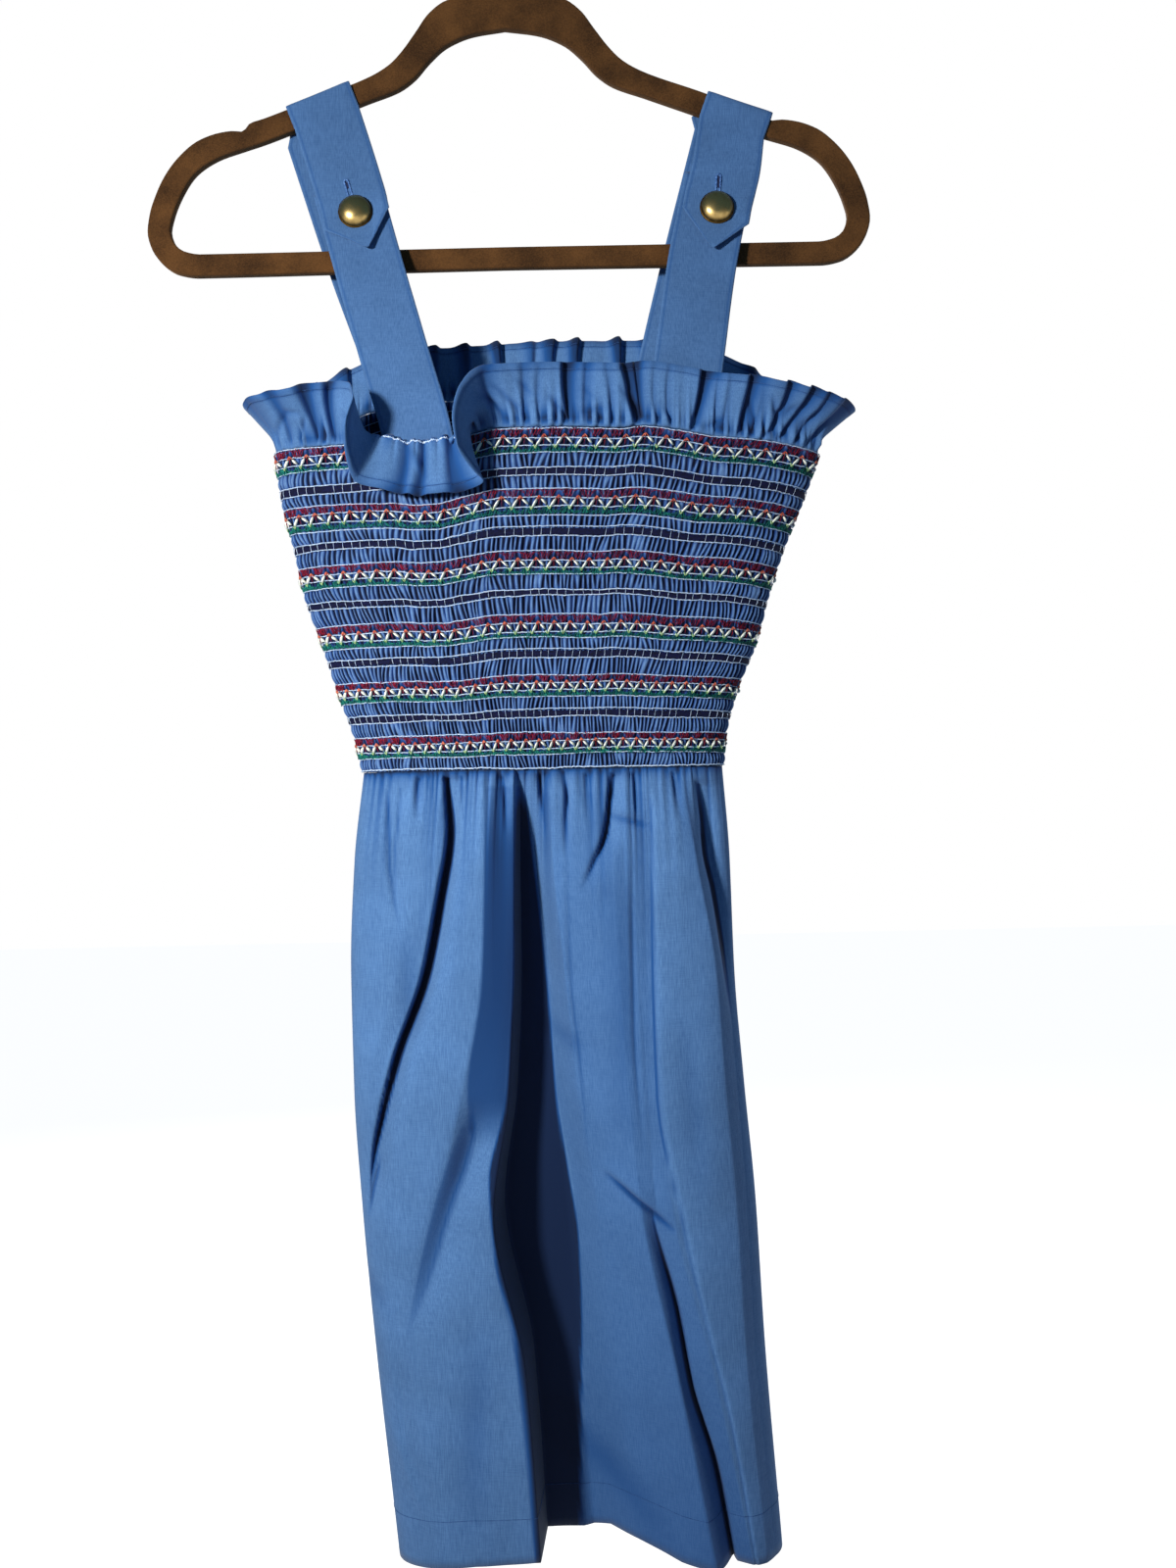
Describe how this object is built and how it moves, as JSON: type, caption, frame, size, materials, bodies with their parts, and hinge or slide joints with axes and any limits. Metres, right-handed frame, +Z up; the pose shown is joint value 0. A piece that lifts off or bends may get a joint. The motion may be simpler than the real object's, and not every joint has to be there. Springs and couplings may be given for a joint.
{
  "type": "smocked dress on a hanger",
  "caption": "Sleeveless cotton dress with a smocked elastic top, ruffled heading, buttoned straps and a gathered skirt, hung on a flat flocked hanger.",
  "frame": {"origin": "top of the inside of the hanger's hook, where it rests on a rail", "axes": "+Z up, the dress's front faces -Y, the picture's right is +X"},
  "size_m": [0.445, 0.1127, 1.0154],
  "materials": {
    "cotton": "plain woven cotton with fine slubs, matt",
    "smocked_cotton": "finely pleated cotton held by coloured smocking stitches, matt",
    "brass_button": "aged, softly polished domes",
    "flocked_hanger": "flocked, velvety brown",
    "hook_wire": "plain bright wire"
  },
  "bodies": {
    "root": {"bodice_front": "smocked_cotton", "bodice_back": "smocked_cotton", "ruffle_front": "cotton", "ruffle_back": "cotton", "skirt_front": "cotton", "skirt_back": "cotton", "strap_back_left": "cotton", "strap_back_right": "cotton", "strap_front_left": "cotton", "strap_front_right": "cotton", "button_left": "brass_button", "button_right": "brass_button", "hanger": "flocked_hanger", "hanger_hook": "hook_wire"}
  },
  "joints": []
}
